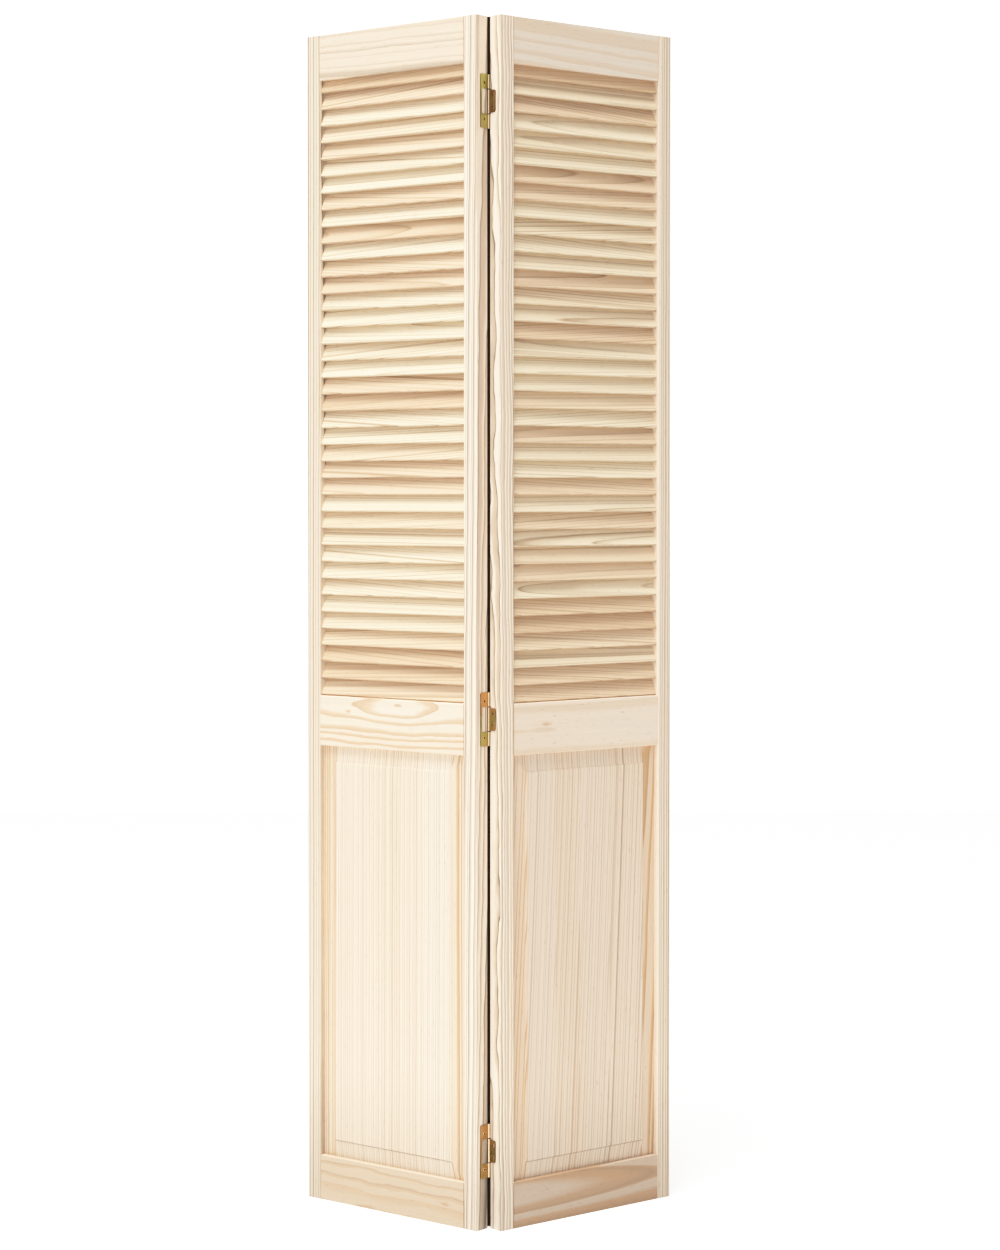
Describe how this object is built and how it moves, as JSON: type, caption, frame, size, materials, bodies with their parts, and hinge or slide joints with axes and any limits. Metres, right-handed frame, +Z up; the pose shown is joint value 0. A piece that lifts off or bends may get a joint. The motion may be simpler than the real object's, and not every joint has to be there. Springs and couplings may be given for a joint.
{
  "type": "bifold closet door",
  "caption": "Bifold closet door of unfinished pine, half folded: leaves joined by nesting hinges, each with fixed louvres over a raised panel.",
  "frame": {"origin": "middle of the half-folded door's base, on the floor", "axes": "+Z up, +X to the right across both leaves, +Y from the ridge at the hinges back to the outer stiles"},
  "size_m": [0.626, 0.252, 2.007],
  "materials": {
    "stile_pine": "unfinished planed pine, straight grain up the stile",
    "rail_pine": "unfinished planed pine, flat-sawn grain along the rail",
    "panel_pine": "unfinished edge-glued pine, grain upright",
    "slat_pine": "unfinished planed pine, grain along the slat",
    "hinge_zinc": "yellow zinc plated steel",
    "pin_zinc": "yellow zinc plated steel",
    "screw_zinc": "yellow zinc plated steel"
  },
  "bodies": {
    "left_leaf": {"bottom_hinge_outer_plate": "hinge_zinc", "bottom_hinge_pin": "pin_zinc", "left_bottom_rail": "rail_pine", "left_hinge_screws": "screw_zinc", "left_hinge_stile": "stile_pine", "left_louvre_slats": "slat_pine", "left_middle_rail": "rail_pine", "left_outer_stile": "stile_pine", "left_raised_panel": "panel_pine", "left_top_rail": "rail_pine", "left_top_slat": "slat_pine", "middle_hinge_outer_plate": "hinge_zinc", "middle_hinge_pin": "pin_zinc", "top_hinge_outer_plate": "hinge_zinc", "top_hinge_pin": "pin_zinc"},
    "right_leaf": {"bottom_hinge_inner_plate": "hinge_zinc", "middle_hinge_inner_plate": "hinge_zinc", "right_bottom_rail": "rail_pine", "right_hinge_screws": "screw_zinc", "right_hinge_stile": "stile_pine", "right_louvre_slats": "slat_pine", "right_middle_rail": "rail_pine", "right_outer_stile": "stile_pine", "right_raised_panel": "panel_pine", "right_top_rail": "rail_pine", "right_top_slat": "slat_pine", "top_hinge_inner_plate": "hinge_zinc"}
  },
  "joints": [
    {"name": "fold", "type": "hinge", "parent": "left_leaf", "child": "right_leaf", "pos_m": [0, -0.10288, 1], "axis": [0, 0, 1], "range_deg": [-76.2, 103.8]}
  ]
}
